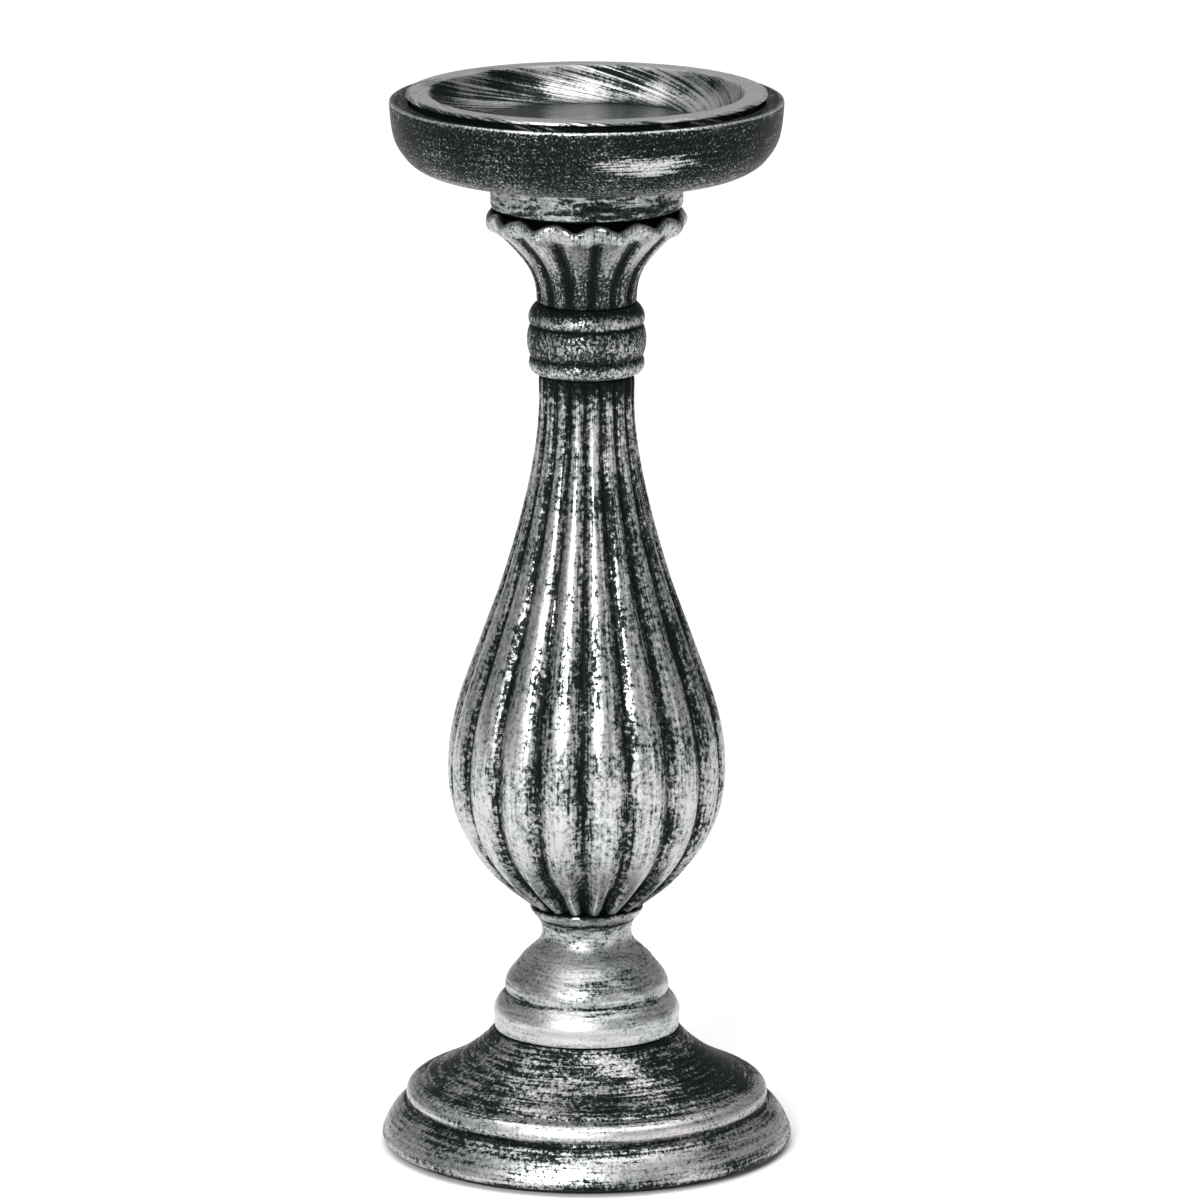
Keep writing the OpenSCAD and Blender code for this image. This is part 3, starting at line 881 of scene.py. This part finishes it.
class CANDLESTICK_OT_capital(bpy.types.Operator):
    """Spin the capital's cage, carve its leaves and smooth it"""

    bl_idname = "candlestick.capital"
    bl_label = "Leaf capital"

    def execute(self, context):
        sizes = context.scene.candlestick_sizes
        start, leaves = sizes.leaf_start, sizes.leaves
        base = base_of("capital")
        cage = CAPITAL + CAPITAL_CORE
        capital = draw_cage("capital_leaves", cage, base, start, LEAF_COLUMNS * leaves)
        for ring, (radius, _, _) in enumerate(CAPITAL):
            for column in range(LEAF_COLUMNS):
                depth, lift = leaf_cut(column, ring)
                if depth or lift:
                    carve(
                        capital,
                        lambda r, turn: r == ring
                        and column_at(turn, start, leaves, LEAF_COLUMNS) == column,
                        keep=1 - depth / radius,
                        lift=lift,
                    )
        shade_grooves(capital, base, start, leaves, LEAF_COLUMNS, leaf_silver)
        smooth_cage(capital)
        paint = silver_over_black(
            "silver over black, brushed up the leaves", brush=(0.9, 8, 0.9), skips=(0.8, 1.5, 0.4)
        )
        dress(capital, paint, "candlestick", "capital")
        return {"FINISHED"}


class CANDLESTICK_OT_tray(bpy.types.Operator):
    """Turn the drum and the tray on it"""

    bl_idname = "candlestick.tray"
    bl_label = "Drum and tray"

    def execute(self, context):
        facets = context.scene.candlestick_sizes.facets
        drum = turn_section("drum_turned", DRUM, "drum", facets)
        paint = silver_over_black(
            "silver over black, brushed round the drum",
            brush=(9, 1.1, 1.5),
            skips=(0.9, 1.0, 1.1),
            # Painted light: more silver on the side that faces the front softbox
            painted_light_lean=(0.1, 0),
        )
        dress(drum, paint, "candlestick", "drum")
        tray = turn_section("tray_turned", TRAY, "tray", facets)
        foot = base_of("tray")
        sponged = silver_over_black(
            "silver over black, sponged on the tray",
            brush=(10, 0.7, 0.7),
            skips=(0.65, 2.3, 0.4),
            smear=((2.5, -60, foot + 8.6), (29.5, -40, foot + 14.2)),
        )
        dress(tray, sponged, "candlestick", "tray")
        return {"FINISHED"}


class CANDLESTICK_OT_cup(bpy.types.Operator):
    """Turn the lift-out candle cup and its drip plate"""

    bl_idname = "candlestick.cup"
    bl_label = "Candle cup"

    def execute(self, context):
        facets = context.scene.candlestick_sizes.facets
        cup = turn_section("candle_cup_turned", CUP, "candle_cup", facets)
        paint = silver_over_black(
            "silver over black, swirled round the cup",
            brush=(2.0, 16, 2.6),
            skips=(0.9, 0.9, 2.0),
            # Painted light: more silver on the inner wall that faces the front softbox
            painted_light_lean=(-0.1, 0),
            slant=0.075,
        )
        dress(cup, paint, "cup", "candle_cup")
        low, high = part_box("drip_plate")
        edge, top = high.x * 1000, (high.z - low.z) * 1000
        sheet = [
            [(0, 0, 0), (edge, 0, 0)],
            [(edge, 0, 0), (edge, top - 0.25, 0)],
            [(edge, top - 0.25, 0), (edge - 0.08, top - 0.07, 0), (edge - 0.25, top, 0)],
            [(edge - 0.25, top, 0), (0, top, 0)],
        ]
        plate = turn_section("drip_plate_spun", sheet, "drip_plate", facets)
        dress(plate, spun_steel("satin spun steel"), "cup", "drip_plate")
        return {"FINISHED"}


class CANDLESTICK_OT_fasteners(bpy.types.Operator):
    """Cut the tie rod's thread and plate the rod, the nuts and the washers"""

    bl_idname = "candlestick.fasteners"
    bl_label = "Tie rod, nuts and washers"

    def execute(self, context):
        plating = zinc_steel("zinc plated steel")
        rod = wind_rod("tie_rod_threaded", context.scene.candlestick_sizes.thread_pitch)
        dress(rod, plating, "candlestick", "tie_rod")
        for name in ("foot_nut", "lock_washer", "foot_washer", "tray_washer", "tray_nut"):
            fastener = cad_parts[name]
            fastener.data.materials.clear()
            fastener.data.materials.append(plating)
        return {"FINISHED"}


# ---- Stage ----

FLOOR_WIDTH = 24
SKY_STRENGTH = 0.3
SUN_WIDTH = math.radians(70)

# Name, kind, place, aim, power in watts or for the sun in watts a square metre, and size, in metres
LIGHTS = (
    ("overhead", "SUN", (0, 0, 3), (0, 0, 0), 2.7, None),
    ("front_softbox", "AREA", (-0.75, -2.3, 1.25), (0, 0, 0.15), 60, (1.0, 0.9)),
    ("right_strip", "AREA", (2.1, -1.3, 0.6), (0, 0, 0.15), 5, (0.35, 1.2)),
)

CAMERA_PLACE = (0, -2.60075, 0.75873)
CAMERA_AIM = (0, 0, 0.15895)
CAMERA_LENS = 282.6384
CAMERA_SENSOR = 36
CAMERA_SHIFT = 0.0111
CAMERA_REACH = 60


def facing(place, aim):
    """The turn that points a light or a camera at its aim."""
    return (Vector(aim) - Vector(place)).to_track_quat("-Z", "Y").to_euler()


def hang_light(name, kind, place, aim, power, size):
    """A softbox, or the wide overhead light, aimed at a point."""
    clear_selection()
    bpy.ops.object.light_add(type=kind, location=place)
    light = bpy.context.object
    light.name = name
    light.rotation_euler = facing(place, aim)
    light.data.energy = power
    if size:
        light.data.shape = "RECTANGLE"
        light.data.size, light.data.size_y = size
    else:
        light.data.angle = SUN_WIDTH


class CANDLESTICK_OT_stage(bpy.types.Operator):
    """Lay the floor, hang the lights and set the camera"""

    bl_idname = "candlestick.stage"
    bl_label = "Floor, lights and camera"

    def execute(self, context):
        clear_selection()
        bpy.ops.mesh.primitive_plane_add(size=FLOOR_WIDTH, location=(0, 0, 0))
        floor = context.object
        floor.name = "studio_floor"
        floor.data.materials.append(studio_paper("matt studio paper"))
        world = bpy.data.worlds.new("studio")
        world.use_nodes = True
        world.node_tree.nodes["Background"].inputs["Color"].default_value = (1, 1, 1, 1)
        world.node_tree.nodes["Background"].inputs["Strength"].default_value = SKY_STRENGTH
        context.scene.world = world
        for light in LIGHTS:
            hang_light(*light)
        bpy.ops.object.camera_add(location=CAMERA_PLACE)
        camera = context.object
        camera.name = "camera"
        camera.rotation_euler = facing(CAMERA_PLACE, CAMERA_AIM)
        camera.data.sensor_width = CAMERA_SENSOR
        camera.data.lens = CAMERA_LENS
        camera.data.shift_x = CAMERA_SHIFT
        camera.data.clip_end = CAMERA_REACH
        context.scene.camera = camera
        context.scene.view_settings.view_transform = "Standard"
        return {"FINISHED"}


class CANDLESTICK_PT_panel(bpy.types.Panel):
    """The sections of the candlestick, from the foot up"""

    bl_idname = "CANDLESTICK_PT_panel"
    bl_label = "Painted Candlestick"
    bl_space_type = "VIEW_3D"
    bl_region_type = "UI"
    bl_category = "Candlestick"

    def draw(self, context):
        for group in (context.scene.candlestick_sizes, context.scene.candlestick_colours):
            column = self.layout.column(align=True)
            for name in group.__annotations__:
                column.prop(group, name)
        column = self.layout.column(align=True)
        for operator in OPERATORS:
            column.operator(operator.bl_idname)


OPERATORS = (
    CANDLESTICK_OT_foot,
    CANDLESTICK_OT_knop,
    CANDLESTICK_OT_vase,
    CANDLESTICK_OT_collar,
    CANDLESTICK_OT_capital,
    CANDLESTICK_OT_tray,
    CANDLESTICK_OT_cup,
    CANDLESTICK_OT_fasteners,
    CANDLESTICK_OT_stage,
)
CLASSES = (CandlestickSizes, CandlestickColours, *OPERATORS, CANDLESTICK_PT_panel)


def register():
    for item in CLASSES:
        bpy.utils.register_class(item)
    bpy.types.Scene.candlestick_sizes = bpy.props.PointerProperty(type=CandlestickSizes)
    bpy.types.Scene.candlestick_colours = bpy.props.PointerProperty(type=CandlestickColours)


def unregister():
    del bpy.types.Scene.candlestick_colours
    del bpy.types.Scene.candlestick_sizes
    for item in reversed(CLASSES):
        bpy.utils.unregister_class(item)


def main():
    register()
    bpy.ops.candlestick.foot()
    bpy.ops.candlestick.knop()
    bpy.ops.candlestick.vase()
    bpy.ops.candlestick.collar()
    bpy.ops.candlestick.capital()
    bpy.ops.candlestick.tray()
    bpy.ops.candlestick.cup()
    bpy.ops.candlestick.fasteners()
    bpy.ops.candlestick.stage()


if __name__ == "__main__":
    main()
